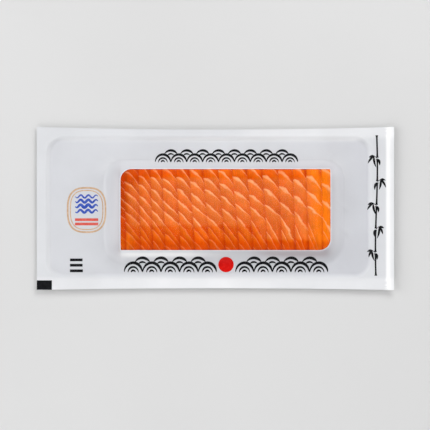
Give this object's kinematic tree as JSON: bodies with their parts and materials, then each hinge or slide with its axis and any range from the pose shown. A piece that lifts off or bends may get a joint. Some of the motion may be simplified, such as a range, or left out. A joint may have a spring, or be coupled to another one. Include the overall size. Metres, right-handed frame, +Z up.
{
  "type": "vacuum pack of smoked salmon",
  "caption": "Flat vacuum pack with a white printed front film, a clear window and a block of sliced smoked salmon sealed under it",
  "frame": {"origin": "on the surface that the pack lies on, under the middle of its outline", "axes": "+X along the pack, from the end with the narrow margin to the end with the wide one; +Y across it, towards its upper edge; +Z up, out of the printed front"},
  "size_m": [0.3, 0.137, 0.0132],
  "materials": {
    "white_film": "white printed film, satin",
    "back_film_white": "plain white film, satin",
    "clear_film": "clear glossy film",
    "salmon": "moist orange fish with pale fat lines"
  },
  "bodies": {
    "root": {"back_film": "back_film_white", "front_film": "white_film", "window_film": "clear_film", "slice_01": "salmon", "slice_02": "salmon", "slice_03": "salmon", "slice_04": "salmon", "slice_05": "salmon", "slice_06": "salmon", "slice_07": "salmon", "slice_08": "salmon", "slice_09": "salmon", "slice_10": "salmon", "slice_11": "salmon", "slice_12": "salmon", "slice_13": "salmon", "slice_14": "salmon", "slice_15": "salmon", "slice_16": "salmon"}
  },
  "joints": []
}
